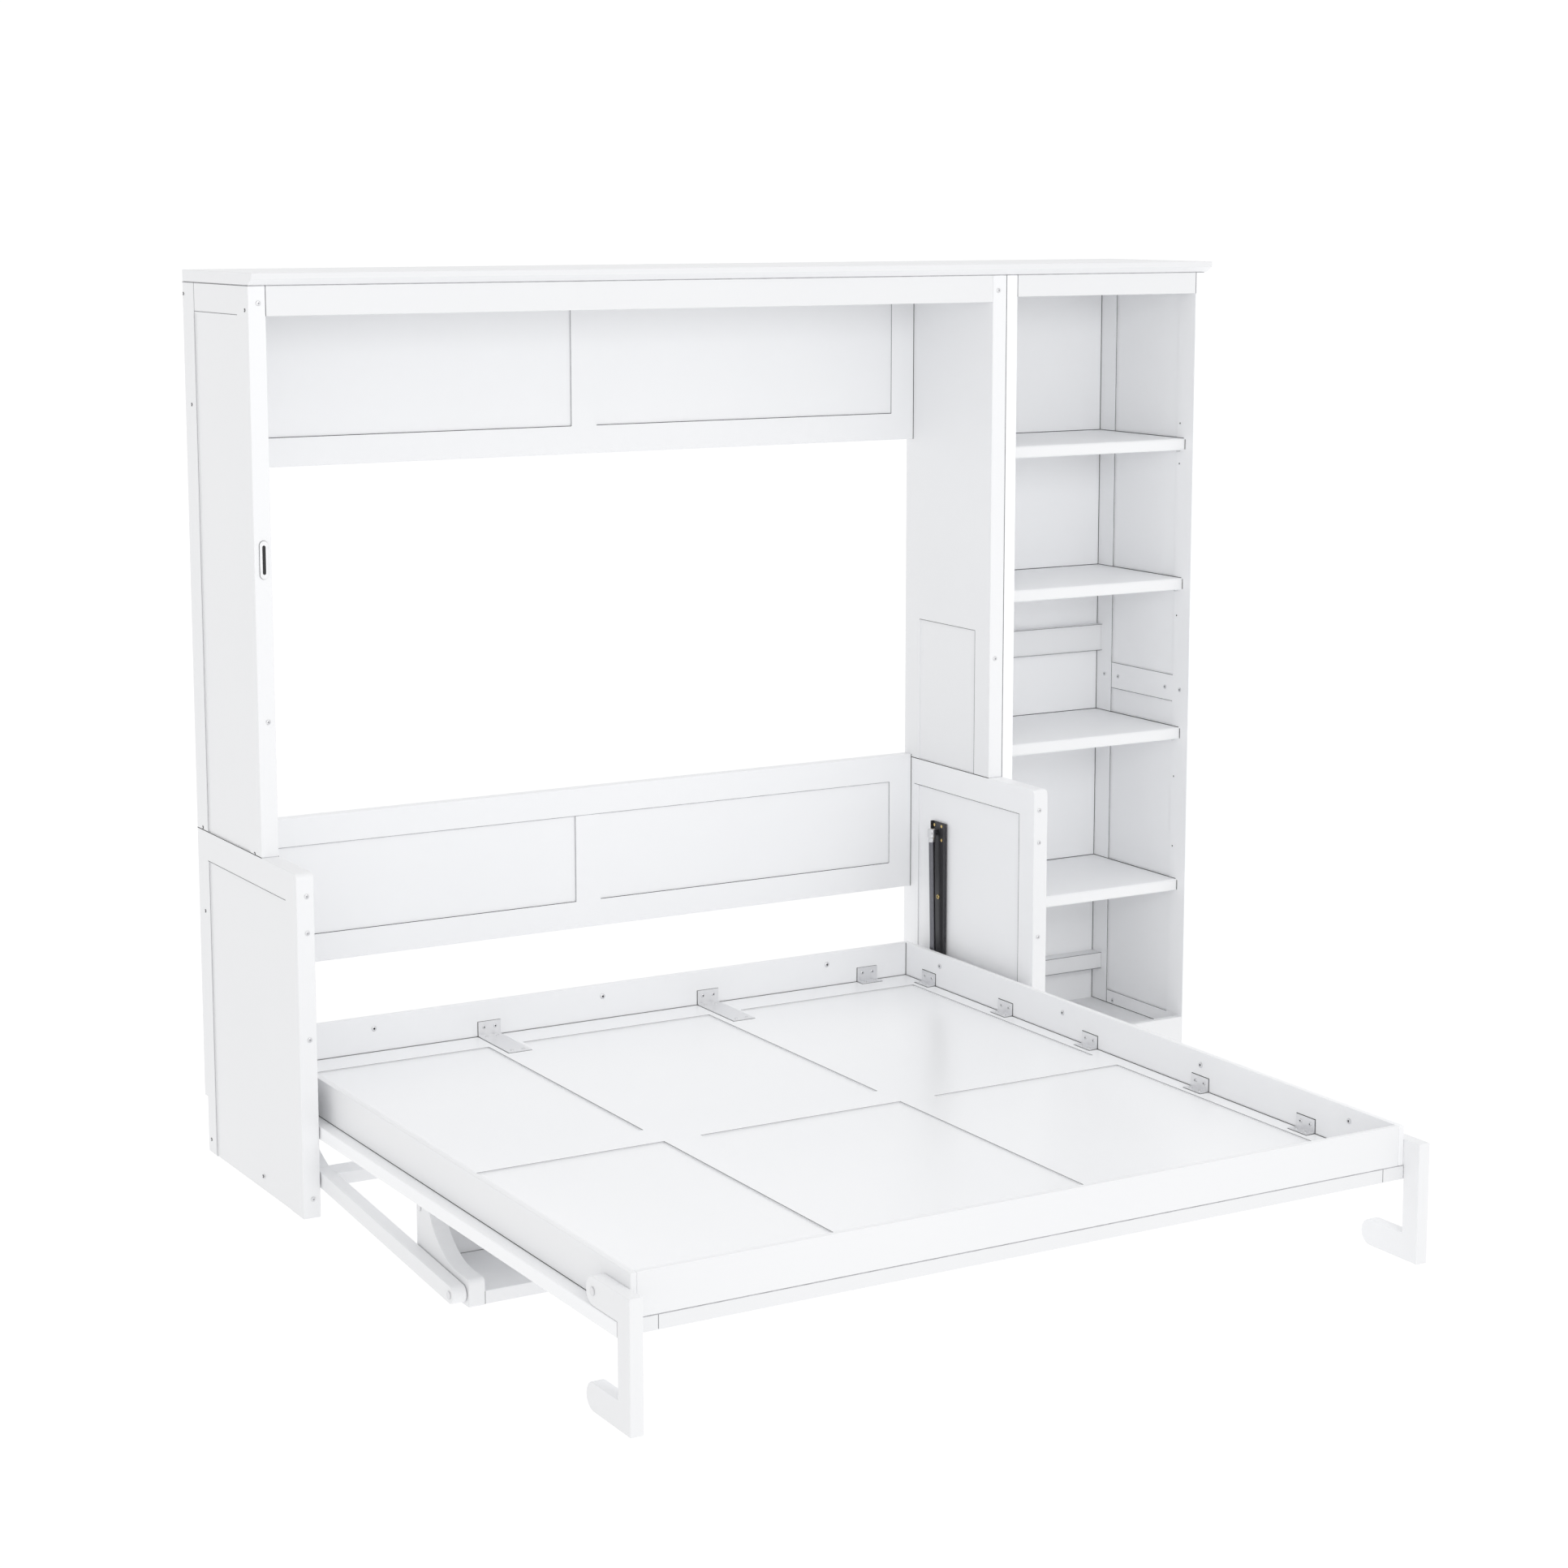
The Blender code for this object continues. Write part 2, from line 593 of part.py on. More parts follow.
def struts(bed, cylinders, rods):
    start, end = CYLINDER
    length = math.dist(STRUT_STUD, STRUT_LEVER)
    near, far = STRUT_X - 6, STRUT_X + 6
    plate = SIDE + GAP + CHANNEL_WALL
    stud = lathe(STRUT_STUD, ((plate - 1, STUD_RADIUS + 3), (near - 1, STUD_RADIUS + 3),
                              (near - 1, STUD_RADIUS), (far + 1, STUD_RADIUS)))
    pair("strut_channel", prism(strut_channel(), CHANNEL_Z, "Z"), black, joins=[stud])
    eye = disc(STRUT_STUD, EYE_RADIUS, (near, far))
    neck = round_bar(STRUT_X, 5, start + 5, 4.5)
    cuts = [round_bar(STRUT_X, 60, end + 10, ROD_RADIUS + RUNNING),
            disc(STRUT_STUD, STUD_RADIUS + RUNNING, (near - 5, far + 5))]
    smooth(*pair("strut_cylinder", round_bar(STRUT_X, start, end, CYLINDER_RADIUS), black,
                 cylinders, joins=[eye, neck], cuts=cuts))
    rod_end = disc(STRUT_LEVER, EYE_RADIUS - 2, (STRUT_X - 3.5, STRUT_X + 3.5))
    smooth(*pair("strut_rod", round_bar(STRUT_X, ROD_TOP, length, ROD_RADIUS), steel, rods,
                 joins=[rod_end]))
    lever = lathe(STRUT_LEVER, ((BED_LEFT - GAP, 18), (BED_LEFT - 4, 18), (BED_LEFT - 4, 6),
                                (STRUT_X + 4.5, 6)))
    smooth(*pair("strut_lever", lever, steel, (bed, bed)))


# --------------------------------------------------------------------- build
def build():
    for old in list(bpy.data.objects):
        bpy.data.objects.remove(old)
    middle = MIRROR / 2
    bed = Body("bed_axis", middle, HINGE)
    desk = Body("desk_axis", middle, DESK_PIVOT, bed)
    links = Body("link_axis", middle, LINK_ANCHOR)
    leg_x = sum(LEG_LEFT) / 2
    leg_bodies = []
    cylinders = []
    rods = []
    for side, leg, strut in (("left", leg_x, STRUT_X),
                             ("right", MIRROR - leg_x, MIRROR - STRUT_X)):
        leg_bodies.append(Body(f"{side}_leg_axis", leg, LEG_PIVOT, bed))
        cylinders.append(Body(f"{side}_strut_axis", strut, STRUT_STUD))
        rods.append(Body(f"{side}_rod_axis", strut, STRUT_STUD, cylinders[-1]))

    left_side()
    partition()
    tower_sides()
    crown()
    front_rails()
    back_panels()
    tower()
    latch_plate()
    bed_deck(bed)
    bed_rails(bed)
    back_rail_angles(bed)
    bed_hinge(bed)
    desk_parts(bed, desk)
    link_parts(links)
    legs(bed, leg_bodies)
    struts(bed, cylinders, rods)


build()
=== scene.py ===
"""Looks for the wall bed: satin white painted boards, plated screws and angles, dark gas
struts, a pale studio and the camera.  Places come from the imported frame, or are written in
cabinet millimetres: X from the cabinet's left face, Y from its back (forwards is negative)
and Z from the floor, all with the bed down."""
import math

import bmesh
import bpy
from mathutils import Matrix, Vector


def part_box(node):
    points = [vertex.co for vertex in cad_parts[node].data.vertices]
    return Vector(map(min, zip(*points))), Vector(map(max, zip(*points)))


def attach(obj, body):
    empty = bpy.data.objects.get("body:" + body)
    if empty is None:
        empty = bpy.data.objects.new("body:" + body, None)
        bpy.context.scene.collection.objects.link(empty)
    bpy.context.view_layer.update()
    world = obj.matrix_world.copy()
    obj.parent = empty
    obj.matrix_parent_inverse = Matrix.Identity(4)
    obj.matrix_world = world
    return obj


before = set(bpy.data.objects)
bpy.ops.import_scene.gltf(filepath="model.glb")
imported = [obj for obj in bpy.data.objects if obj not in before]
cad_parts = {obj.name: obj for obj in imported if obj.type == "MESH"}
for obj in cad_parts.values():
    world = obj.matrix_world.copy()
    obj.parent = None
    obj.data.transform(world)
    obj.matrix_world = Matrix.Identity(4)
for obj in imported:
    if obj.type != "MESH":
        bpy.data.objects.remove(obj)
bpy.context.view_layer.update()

MM = 0.001
PROUD = 0.3 * MM                   # how far trim stands off the board it lies on
FINE = 1.5                         # widths of joint lines, millimetres
BROAD = 2.0
CLEAR = 1                          # how far a line keeps off the board it meets, millimetres

LEFT, RIGHT = (-1, 0, 0), (1, 0, 0)   # the ways that faces look
FRONT, BACK, UP = (0, -1, 0), (0, 1, 0), (0, 0, 1)

# the open part of the cabinet
SIDE = 43                          # inner face of the left side
PARTITION = 2070                   # face of the partition towards the bed
PARTITION_FAR = 2113               # its face towards the tower
PARTITION_BACK = -18
CABINET_FRONT = -438
CABINET_TOP = 2171
SIDE_JOINT = 826                   # where the upper sides stand on the lower ones
STILE_BACK = -79                   # joint of the sides' back stiles
STILE_FRONT = -366                 # joint of the upper sides' front stiles
TOP_RAIL = 2102                    # lower edge of the left side's top rail
FRONT_RAIL = 2100                  # lower edge of the rail across the bed's opening
MIDDLE_RAIL = 1219                 # upper edge of the sides' middle rail, seen from inside
MIDDLE_RAIL_BACK = -91             # its back end
LOWER_RAIL = 753                   # lower edge of the lower sides' top rail
LOWER_RAIL_BACK = -70
LOWER_STILE = -585                 # joint of the lower sides' front stiles
LOWER_STILE_END = 220

# the two back panels
PANEL_FACE = -53
PANEL_BORDER = 73                  # width of their rails and stiles
BACK_PANELS = {"upper": (1715, CABINET_TOP), "lower": (458, 834)}

# the shelf tower
TOWER_LEFT = 2148                  # inner face of its left side
TOWER_SIDE = 2739                  # inner face of its right side
TOWER_END = 2766                   # outer face of its right side
TOWER_BACK = -4.4
TOWER_FLOOR = 39
TOWER_TOP = 2113
TOWER_CORNER_LOW = 80              # lower end of the line in the left back corner
SIDE_LINE_BACK = -5                # back ends of the level lines on the right side
SHELF_TOPS = (1713, 1324, 902, 468)
SHELF_THICK = 32
SHELF_FRONT = -403
SHELF_LINE_FRONT = -396            # front end of the line along a shelf's end
BOTTOM_SHELF_FRONT = -418
SHELF_EDGE = 2                     # how far a shelf's end lines keep from its edges
TOWER_STILES = (-77, -365)
TOWER_RAILS = (78, 973, 1047)
BACK_RAILS = ((-49, (137, 183)), (-30, (1077, 1152)))   # face, then lower and upper edges

# the bed
TRAY_SIDES = (92, 2021)            # inner faces of the mattress rails
TRAY_ENDS = (-107, -2148)
TRAY_CORNERS = (91.8, 2021.2)      # lines in the tray's back corners
TRAY_CORNER_BACK = -106.6
TRAY_OVERLAP = 0.5                 # how far the tray's lines run into one another
DECK_TOP = 218.1
RAIL_HEIGHT = 310                  # top of the mattress rails
DECK_COLUMNS = ((136, 687), (784, 1332), (1430, 1977))
DECK_ROWS = ((-2053, -1162), (-1057, -212))
BED_FRONT = -2163
RAIL_FACES = (77, 2036)            # outer faces of the side rails
LEDGE = (78, 2035)                 # left and right ends of the line above the deck's edge
LEDGE_LOW = 188
LEDGE_JOINTS = (138, 1977)         # upright joints in the deck's front edge
LEDGE_INSET = 12                   # how far the lines under the side rails stop short

# the desk
DESK_ENDS = (120, 1993)
DESK_JOINTS = (119.6, 1993.4)      # where its ends meet the brackets
DESK_TOP = 34
DESK_LOW = 5
DESK_BACK = -1149
DESK_FRONT = -1400

# screws and holes: heads are (radius, height)
POST_HEAD = (6, 1.8)
TOWER_HEAD = (6, 1.6)
RAIL_HEAD = (7, 2.2)
ANGLE_HEAD = (5, 1.8)
ANGLE_SOCKET = (7, 1.8)            # gives the angles' screws a wider disc of painted shade in the socket than their size would
CHANNEL_HEAD = (4.4, 1.4)
CHANNEL_BOLT = (6.4, 2.0)
POST_SCREWS = (2130, 1150)         # heights
LOWER_SIDE_SCREWS = (772, 685, 430, 46)
TOWER_SCREWS = ((43, 1009), (109, 1009), (331, 1009), (399, 1009), (107, 51))   # from back, up
RAIL_SCREW_HEIGHT = 279
BACK_RAIL_SCREWS = (416, 1069, 1763)
SIDE_RAIL_SCREWS = (187, 770, 1350, 1900)      # from the rails' back ends
PIN_HOLES = (1754, 1642, 1319, 1217, 870, 760, 560)    # heights
CAM_PLACES = ((-6, 2142), (-417, 2114), (-44, 1876), (-40, 832), (-393, 829), (-42, 621),
              (-395, 35), (-40, 34))           # Y and Z on the left side's outer faces

# light and camera
ROOM_STRENGTH = 1.03
ROOM_LEFT = 0.5                    # share of the light that comes from high on the left
ROOM_RIGHT = 0.8
HORIZON_BAND = (0.17, 0.25)        # heights over which the room turns from even to shaded
FLOOR_RADIUS = 60.0
FLOOR_DROP = 0.0015
FLOOR_GLOW = 0.9
CAMERA_PLACE = (-4.0194, -6.2709, 2.3661)
CAMERA_TURN = (30.35, -8.545)      # degrees to the right of straight back, and up
CAMERA_FOCAL = 72.475
CAMERA_SHIFT = -0.07
KEY_LIGHT = ((-3.4, -8.4, 2.6), (0.3, 0, 1.0), (7.0, 4.5), 30)      # place, target, size, watts
SHELF_FILL = ((-0.6, -4.6, 3.0), (1.05, 0.9, 1.1), (1.2, 1.2), 36)

WHITE = (1.0, 1.0, 1.0, 1.0)
PAINT_LIGHT = (0.887, 0.892, 0.904)
PAINT_DARK = (0.875, 0.881, 0.894)


# ---------------------------------------------------------------- node helpers
def times(values, factor):
    return tuple(factor * v for v in values)


def grey(value, blue=1.0):
    """A grey, with its blue scaled."""
    return (value, value, value * blue)


class Nodes:
    """Short names for building one procedural material."""

    def __init__(self, name, colour, roughness, metallic=0.0):
        self.material = bpy.data.materials.new(name)
        self.material.use_nodes = True
        self.tree = self.material.node_tree
        self.shader = self.tree.nodes["Principled BSDF"]
        self.shader.inputs["Base Color"].default_value = (*colour, 1.0)
        self.shader.inputs["Roughness"].default_value = roughness
        self.shader.inputs["Metallic"].default_value = metallic
        coordinates = self.tree.nodes.new("ShaderNodeTexCoord")
        self.place = coordinates.outputs["Object"]
        self.normal = coordinates.outputs["Normal"]

    def link(self, output, socket):
        self.tree.links.new(output, socket)

    def colour(self, output):
        self.link(output, self.shader.inputs["Base Color"])

    def roughness(self, output):
        self.link(output, self.shader.inputs["Roughness"])

    def stretched(self, scale):
        mapping = self.tree.nodes.new("ShaderNodeMapping")
        mapping.inputs["Scale"].default_value = scale
        self.link(self.place, mapping.inputs["Vector"])
        return mapping.outputs["Vector"]

    def noise(self, scale, detail=3.0, vector=None):
        node = self.tree.nodes.new("ShaderNodeTexNoise")
        node.inputs["Scale"].default_value = scale
        node.inputs["Detail"].default_value = detail
        self.link(vector or self.place, node.inputs["Vector"])
        return node.outputs["Fac"]

    def ramp(self, value, low, high, start=0.3, end=0.7):
        node = self.tree.nodes.new("ShaderNodeValToRGB")
        for element, position, colour in zip(node.color_ramp.elements, (start, end), (low, high)):
            element.position = position
            element.color = (*colour, 1.0)
        self.link(value, node.inputs["Fac"])
        return node.outputs["Color"]

    def spread(self, value, low, high, start=0.3, end=0.7):
        node = self.tree.nodes.new("ShaderNodeMapRange")
        node.inputs["From Min"].default_value = start
        node.inputs["From Max"].default_value = end
        node.inputs["To Min"].default_value = low
        node.inputs["To Max"].default_value = high
        self.link(value, node.inputs["Value"])
        return node.outputs["Result"]

    def mix(self, share, first, second):
        node = self.tree.nodes.new("ShaderNodeMix")
        node.data_type = "RGBA"
        self.link(share, node.inputs["Factor"])
        self.link(first, node.inputs["A"])
        self.link(second, node.inputs["B"])
        return node.outputs["Result"]

    def bump(self, height, strength, distance):
        node = self.tree.nodes.new("ShaderNodeBump")
        node.inputs["Strength"].default_value = strength
        node.inputs["Distance"].default_value = distance
        self.link(height, node.inputs["Height"])
        self.link(node.outputs["Normal"], self.shader.inputs["Normal"])

    def facing(self, way):
        """1 on faces turned that way, 0 on the piece's other faces: the mask for painted shade on
        those faces.
        """
        node = self.tree.nodes.new("ShaderNodeVectorMath")
        node.operation = "DOT_PRODUCT"
        self.link(self.normal, node.inputs[0])
        node.inputs[1].default_value = way
        return self.spread(node.outputs["Value"], 0, 1, start=0.5, end=0.9)


# ---------------------------------------------------------------- materials
def satin_paint(name, lit_scale=1.0, gloss=0.42, peel=0.015, way=FRONT, share=1.0):
    """Sprayed white lacquer on board: faint cloudiness, orange peel and a soft sheen.
    Faces turned one way are share times as light as the others, as painted shade on those faces;
    the whole white is scaled lighter as painted light or darker as painted shade."""
    # the whole white scaled: lighter is painted light, darker is painted shade
    light = times(PAINT_LIGHT, lit_scale)
    dark = times(PAINT_DARK, lit_scale)
    made = Nodes(name, light, gloss)
    cloud = made.noise(1.6, 2.0)
    shade = made.ramp(cloud, dark, light)
    # painted shade: faces turned way get a darker copy of the white
    if share != 1.0:
        darker = made.ramp(cloud, times(dark, share), times(light, share))
        shade = made.mix(made.facing(way), shade, darker)
    made.colour(shade)
    drift = made.noise(2.2, 1.0)
    made.roughness(made.spread(drift, gloss - 0.015, gloss + 0.02))
    if peel:
        made.bump(made.noise(420.0, 2.0), peel, 0.0003)
    return made.material


def plated_steel(name, value):
    """Bright zinc plate with fine brushing and slightly duller patches."""
    bright = (value, value, value + 0.01)
    dull = (value - 0.03, value - 0.025, value - 0.01)
    made = Nodes(name, bright, 0.34, 1.0)
    patch = made.noise(90.0)
    made.colour(made.ramp(patch, dull, bright))
    made.roughness(made.spread(patch, 0.3, 0.38))
    made.bump(made.noise(900.0, 2.0, made.stretched((1, 0.08, 0.08))), 0.02, 0.0001)
    return made.material


def dark_coating(name, value, metallic=0.0):
    """Dark coated steel: fine texture and a low sheen."""
    made = Nodes(name, grey(value, 1.1), 0.34, metallic)
    speckle = made.noise(700.0)
    made.colour(made.ramp(speckle, grey(value * 0.8, 1.1), grey(value * 1.2, 1.1)))
    made.roughness(made.spread(speckle, 0.28, 0.4))
    made.bump(speckle, 0.1, 0.0002)
    return made.material


def brass(name):
    """Yellow brass, tarnished in patches."""
    made = Nodes(name, (0.92, 0.72, 0.32), 0.25, 1.0)
    tarnish = made.noise(300.0)
    made.colour(made.ramp(tarnish, (0.82, 0.6, 0.22), (0.97, 0.8, 0.42)))
    made.roughness(made.spread(tarnish, 0.2, 0.38))
    return made.material


def shadow_gap(name, value):
    """Painted shade: the dark in a fine joint between two painted boards, also laid in recesses,
    holes, drive sockets and round fittings.
    """
    made = Nodes(name, grey(value, 1.04), 0.8)
    dust = made.noise(40.0, 2.0)
    made.colour(made.ramp(dust, grey(value * 0.8, 1.05), grey(value * 1.2, 1.04)))
    return made.material


# Lit and shaded copies of one white, to bring each board to its brightness in the photograph: a
# scale above 1 is painted light and one below 1 painted shade, and a share below 1 is painted
# shade on the faces turned way.
PAINT = satin_paint("satin_paint", share=0.985)
PAINT_TRAY_LIT = satin_paint("satin_paint_tray_lit_front_shaded", lit_scale=1.095, gloss=0.25, peel=0.0, share=0.81)
PAINT_RAIL_FRONT_SHADED = satin_paint("satin_paint_rail_front_shaded", share=0.915)
PAINT_RIGHT_LIT = satin_paint("satin_paint_right_lit_front_shaded", lit_scale=1.085, share=0.89)
PAINT_BACK_LIT = satin_paint("satin_paint_back_lit", lit_scale=1.035)
PAINT_DESK_SHADED = satin_paint("satin_paint_desk_shaded", lit_scale=0.965)
PAINT_SHELF_LIT = satin_paint("satin_paint_shelf_lit_front_shaded", lit_scale=1.1, share=0.88)
PAINT_TOWER_SIDE_LIT = satin_paint("satin_paint_tower_side_lit_right_shaded", lit_scale=1.1, way=RIGHT, share=0.88)
PAINT_TOWER_BACK_LIT = satin_paint("satin_paint_tower_back_lit_back_shaded", lit_scale=1.1, way=BACK, share=0.88)
STEEL = plated_steel("zinc_plate", 0.76)
BRIGHT_STEEL = plated_steel("bright_zinc_plate", 0.84)
ENAMEL = dark_coating("black_enamel", 0.014)
DARK_STEEL = dark_coating("dark_steel", 0.055, metallic=0.5)
DARK_CHROME = dark_coating("dark_chrome", 0.2, metallic=1.0)
BRASS = brass("yellow_brass")
# painted shade in three strengths, for joints, recess edges, corners, holes, drive sockets and the
# gaps round fittings
SHADE_DARK = shadow_gap("painted_shade_dark", 0.035)
SHADE_SOFT = shadow_gap("painted_shade_soft", 0.24)
SHADE_FAINT = shadow_gap("painted_shade_faint", 0.45)


def dress(material, *nodes):
    """Give CAD nodes a finished material."""
    for node in nodes:
        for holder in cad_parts[node].material_slots:
            holder.material = material


def dress_all():
    dress(PAINT, *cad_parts)
    dress(PAINT_TRAY_LIT, "bed_deck")
    dress(PAINT_TOWER_SIDE_LIT, "tower_left_side", "tower_right_side")
    dress(PAINT_TOWER_BACK_LIT, "tower_back_panel")
    dress(PAINT_SHELF_LIT, "tower_shelf_1", "tower_shelf_2", "tower_shelf_3", "tower_shelf_4")
    dress(PAINT_RIGHT_LIT, "right_bed_rail", "partition_lower")
    dress(PAINT_BACK_LIT, "back_bed_rail", "lower_back_panel")
    dress(PAINT_RAIL_FRONT_SHADED, "front_bed_rail", "front_top_rail", "tower_top_rail", "tower_toe_board",
          "tower_bottom_shelf", "crown_board", "left_bed_rail", "left_leg", "right_leg")
    dress(PAINT_DESK_SHADED, "desk_top", "desk_back_panel", "left_desk_bracket", "right_desk_bracket")
    dress(BRIGHT_STEEL, "back_rail_angle_1", "back_rail_angle_2", "back_rail_angle_3",
          "latch_plate")
    for side in ("left", "right"):
        dress(STEEL, f"{side}_bed_hinge_hub", f"{side}_bed_hinge_pin",
              f"{side}_desk_hanger_bolt", f"{side}_leg_bolt", f"{side}_link_anchor_pin",
              f"{side}_link_front_bolt", f"{side}_strut_lever", f"{side}_strut_rod")
        dress(DARK_CHROME, f"{side}_strut_cylinder")
        dress(DARK_STEEL, f"{side}_strut_channel")


# -------------------------------------------------------------------- pieces
def add_piece(name, shape, material, body, smooth=True):
    """Object from a bmesh, riding on a body."""
    mesh = bpy.data.meshes.new(name)
    bmesh.ops.recalc_face_normals(shape, faces=shape.faces)
    shape.to_mesh(mesh)
    shape.free()
    made = bpy.data.objects.new(name, mesh)
    bpy.context.collection.objects.link(made)
    mesh.materials.append(material)
    if smooth:
        mesh.shade_smooth()
        mesh.set_sharp_from_angle(angle=math.radians(35))
    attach(made, body)
    return made


def soften(made, width):
    """Eased edges, width millimetres across."""
    bevel = made.modifiers.new("eased edges", "BEVEL")
    bevel.width = width * MM
    bevel.segments = 2
    bevel.limit_method = "ANGLE"


def axes(normal):
    """A normal, and two directions square to it."""
    normal = Vector(normal).normalized()
    across = normal.orthogonal().normalized()
    return normal, across, normal.cross(across)


def turned(shape, centre, normal, profile, sides=20):
    """Adds a solid of revolution: profile is (radius, height) along the normal."""
    normal, across, up = axes(normal)
    rings = []
    for radius, height in profile:
        ring = []
        for i in range(sides):
            angle = 2 * math.pi * i / sides
            sideways = across * math.cos(angle) + up * math.sin(angle)
            ring.append(shape.verts.new(centre + normal * height + sideways * radius))
        rings.append(ring)
    for low, high in zip(rings, rings[1:]):
        for i in range(sides):
            j = (i + 1) % sides
            shape.faces.new((low[i], low[j], high[j], high[i]))
    shape.faces.new(rings[0])
    shape.faces.new(rings[-1])


def disc(shape, centre, normal, radius, height, sides=12):
    """Adds a thin round plate."""
    turned(shape, centre, normal, ((radius, 0), (radius, height)), sides)


def box_into(shape, low, high):
    """Adds a box between two corners."""
    made = bmesh.ops.create_cube(shape, size=1.0)["verts"]
    low, high = Vector(low), Vector(high)
    size, middle = high - low, (high + low) / 2
    for vert in made:
        vert.co = Vector(a * b for a, b in zip(vert.co, size)) + middle


def corner(node, side):
    """Lowest (0) or highest (1) corner of a CAD node."""
    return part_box(node)[side]


CABINET_ORIGIN = Vector((corner("left_upper_side", 0)[0], corner("left_upper_side", 1)[1], 0))


def cabinet(x, y, z):
    """Metres in the scene from cabinet millimetres."""
    return CABINET_ORIGIN + Vector((x, y, z)) * MM


def mirror_x(point):
    """A point on the other side of the bed."""
    low, high = corner("bed_deck", 0), corner("bed_deck", 1)
    return Vector((low[0] + high[0] - point[0], point[1], point[2]))


def on_side(side, point):
    """A point worked out for the left side, on the side that is asked for."""
    return mirror_x(point) if side == "right" else Vector(point)


# --------------------------------------------------------------- fine joint lines of painted shade
def line(shape, start, end, normal, width):
    """Adds a fine strip from start to end, lying on the face that looks along normal."""
    start, end = cabinet(*start), cabinet(*end)
    normal = Vector(normal)
    side = (end - start).normalized().cross(normal) * (width * MM / 2)
    low, high = normal * (PROUD * 0.1), normal * PROUD
    first, last = ([shape.verts.new(point + side * sign + lift)
                    for sign, lift in ((-1, low), (1, low), (1, high), (-1, high))]
                   for point in (start, end))
    for i in range(4):
        j = (i + 1) % 4
        shape.faces.new((first[i], first[j], last[j], last[i]))
    shape.faces.new(first)
    shape.faces.new(last)


def lines(name, strips, material, body, width=FINE):
    """One piece of fine joint lines, painted shade in the given material: strips are (start, end,
    normal) in cabinet millimetres.
    """
    shape = bmesh.new()
    for start, end, normal in strips:
        line(shape, start, end, normal, width)
    add_piece(name, shape, material, body, smooth=False)


def across(x, z, back, front, normal):
    """A level strip that runs from back to front."""
    return (x, back, z), (x, front, z), normal


def upright(x, y, low, high, normal):
    return (x, y, low), (x, y, high), normal


def sideways(y, z, left, right, normal):
    """A level strip that runs from left to right."""
    return (left, y, z), (right, y, z), normal


def inner_side_lines(x, normal):
    """Joints seen on the bed's side of an end: upper and lower panels and their stiles."""
    return [upright(x, STILE_FRONT, SIDE_JOINT, MIDDLE_RAIL, normal),
            across(x, MIDDLE_RAIL, MIDDLE_RAIL_BACK, STILE_FRONT, normal),
            across(x, LOWER_RAIL, LOWER_RAIL_BACK, LOWER_STILE, normal),
            upright(x, LOWER_STILE, LOWER_RAIL, LOWER_STILE_END, normal)]


def side_lines():
    """Joints of the stiles and rails on the cabinet's left side and on the partition."""
    outside = [upright(0, STILE_BACK, SIDE_JOINT, CABINET_TOP, LEFT),
               across(0, TOP_RAIL, STILE_BACK, STILE_FRONT, LEFT),
               across(0, CABINET_TOP - CLEAR, 0, CABINET_FRONT, LEFT),
               across(0, LOWER_RAIL, LOWER_RAIL_BACK, LOWER_STILE, LEFT),
               upright(0, STILE_BACK, 0, LOWER_RAIL, LEFT)]
    lines("left_side_lines", outside, SHADE_SOFT, "cabinet")
    seam = [across(0, SIDE_JOINT, 0, CABINET_FRONT, LEFT)]
    lines("left_side_seam", seam, SHADE_DARK, "cabinet")
    lines("partition_lines", inner_side_lines(PARTITION, LEFT), SHADE_SOFT, "cabinet")
    seam = [across(PARTITION, SIDE_JOINT, PARTITION_BACK, CABINET_FRONT, LEFT)]
    lines("partition_seam", seam, SHADE_DARK, "cabinet")
    inside = inner_side_lines(SIDE, RIGHT) + [across(SIDE, SIDE_JOINT, 0, CABINET_FRONT, RIGHT)]
    lines("left_inner_lines", inside, SHADE_SOFT, "cabinet")


def front_lines():
    """Joints between posts, front rails and crown."""
    y = CABINET_FRONT
    ends = [upright(SIDE, y, FRONT_RAIL, CABINET_TOP, FRONT)]
    ends += [upright(x, y, TOWER_TOP, CABINET_TOP, FRONT) for x in (TOWER_LEFT, TOWER_SIDE)]
    lines("front_rail_lines", ends, SHADE_SOFT, "cabinet")
    under_crown = [sideways(y, CABINET_TOP - CLEAR, 0, TOWER_END, FRONT)]
    lines("crown_joint", under_crown, SHADE_FAINT, "cabinet")
    between = [upright(PARTITION_FAR, y, 0, CABINET_TOP, FRONT)]
    lines("tower_joint", between, SHADE_SOFT, "cabinet", BROAD)


def back_panel_lines():
    """Joints of the two back panels, seen on their front faces."""
    y = PANEL_FACE
    left, right = SIDE + PANEL_BORDER, PARTITION - PANEL_BORDER
    middle = (SIDE + PARTITION) / 2
    stile = middle - PANEL_BORDER / 2
    for name, (low, high) in BACK_PANELS.items():
        bottom, top = low + PANEL_BORDER, high - PANEL_BORDER
        soft = [upright(x, y, bottom, top, FRONT) for x in (stile, right, left)]
        lines(f"{name}_panel_lines", soft, SHADE_SOFT, "cabinet")
        above = [sideways(y, top, left, right, FRONT)]
        lines(f"{name}_panel_top_line", above, SHADE_FAINT, "cabinet")
        dark = [sideways(y, bottom, left, stile, FRONT),
                sideways(y, bottom, stile + PANEL_BORDER, right, FRONT),
                upright(PARTITION - CLEAR, y, low, high, FRONT)]
        lines(f"{name}_panel_dark_lines", dark, SHADE_DARK, "cabinet")


